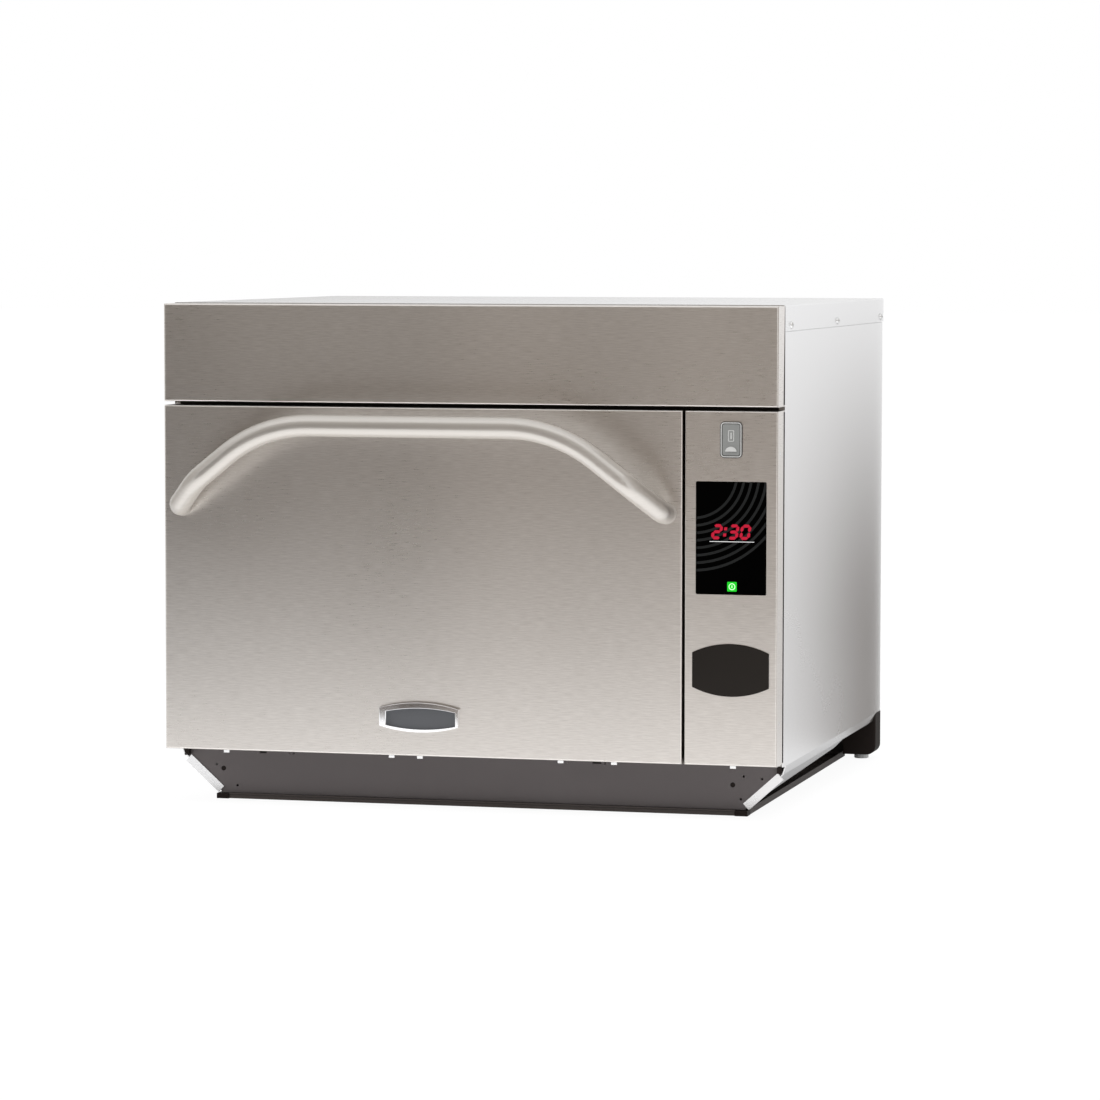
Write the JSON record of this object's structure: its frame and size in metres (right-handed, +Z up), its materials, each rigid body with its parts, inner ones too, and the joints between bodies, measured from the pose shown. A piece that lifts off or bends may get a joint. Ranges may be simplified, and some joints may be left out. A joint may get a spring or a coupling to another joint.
{
  "type": "speed oven",
  "caption": "Counter-top speed oven in brushed steel with a pull-down door, arched tube handle, touch screen panel and a set-back dark plinth.",
  "frame": {"origin": "on the counter, under the middle of the oven's box with its handle and gland", "axes": "+X to the right across the front, the door faces -Y, +Z up"},
  "size_m": [0.642, 0.654, 0.512],
  "materials": {
    "brushed_steel": "brushed",
    "handle_steel": "satin",
    "plain_steel": "mill",
    "bright_steel": "bright",
    "dark_paint": "satin dark grey paint",
    "black_plastic": "matt black",
    "screen_glass": "gloss black touch glass",
    "ceramic": "glazed ceramic",
    "heater_alloy": "oxidised alloy sheath",
    "aluminium": "mill",
    "mica": "mica",
    "wool": "mineral wool",
    "motor_paint": "plain",
    "board": "board",
    "grey_plastic": "grey",
    "grey_rubber": "grey",
    "seal_rubber": "black silicone",
    "chrome": "polished"
  },
  "bodies": {
    "cabinet": {"top_cover": "brushed_steel", "side_panel_left": "brushed_steel", "side_panel_right": "brushed_steel", "back_panel": "plain_steel", "inlet_gland": "black_plastic", "fascia": "brushed_steel", "control_panel": "brushed_steel", "skin_screws": "bright_steel", "panel_screws": "bright_steel", "chassis_front": "plain_steel", "chassis_floor": "plain_steel", "front_clips": "bright_steel", "base_front": "dark_paint", "base_pan": "dark_paint", "front_feet": "black_plastic", "rear_foot_left": "black_plastic", "rear_foot_right": "black_plastic", "corner_brackets": "black_plastic", "cavity_liner": "plain_steel", "radiant_element": "heater_alloy", "ceramic_floor": "ceramic", "oven_rack": "bright_steel", "feed_covers": "mica", "waveguide_front": "aluminium", "waveguide_rear": "aluminium", "magnetron_front": "aluminium", "magnetron_rear": "aluminium", "insulation": "wool", "stirrer_motor": "motor_paint", "fan_plenum": "plain_steel", "rear_baffle": "plain_steel", "ring_heater": "heater_alloy", "convection_motor": "motor_paint", "transformer_front": "motor_paint", "transformer_rear": "motor_paint", "capacitors": "motor_paint", "cooling_fan_frame": "black_plastic", "control_board": "board", "switch_block_left": "black_plastic", "switch_block_right": "black_plastic", "touch_screen": "screen_glass", "display_module": "black_plastic", "port_housing": "grey_plastic", "panel_plate": "black_plastic", "hinge_bracket_left": "plain_steel", "hinge_bracket_right": "plain_steel", "hinge_springs": "plain_steel"},
    "door": {"door_skin": "brushed_steel", "door_inner": "plain_steel", "door_seal": "seal_rubber", "door_tongues": "plain_steel", "handle": "handle_steel", "handle_bolts": "handle_steel", "badge_frame": "chrome", "badge_plate": "black_plastic", "hinge_leaves": "plain_steel"},
    "convection_fan_rotor": {"convection_fan": "bright_steel"},
    "cooling_fan_rotor": {"cooling_fan": "black_plastic"},
    "stirrer_rotor": {"stirrer": "aluminium"},
    "port_flap": {"port_cover": "grey_rubber"}
  },
  "joints": [
    {"name": "door_hinge", "type": "hinge", "parent": "cabinet", "child": "door", "pos_m": [-0.0481, -0.2335, 0.054], "axis": [1, 0, 0], "range_deg": [0, 90], "stiffness_Nm_per_rad": 4, "springref_deg": -22.92},
    {"name": "port_flap_hinge", "type": "hinge", "parent": "cabinet", "child": "port_flap", "pos_m": [0.2721, -0.2711, 0.39515], "axis": [-1, 0, 0], "range_deg": [0, 110], "stiffness_Nm_per_rad": 0.002},
    {"name": "convection_fan_spin", "type": "hinge", "parent": "cabinet", "child": "convection_fan_rotor", "pos_m": [-0.0481, 0.1805, 0.232], "axis": [0, 1, 0], "continuous": true},
    {"name": "cooling_fan_spin", "type": "hinge", "parent": "cabinet", "child": "cooling_fan_rotor", "pos_m": [0.249, 0.2805, 0.392], "axis": [0, 1, 0], "continuous": true},
    {"name": "stirrer_spin", "type": "hinge", "parent": "cabinet", "child": "stirrer_rotor", "pos_m": [-0.0481, -0.0432, 0.09], "axis": [0, 0, 1], "continuous": true}
  ]
}
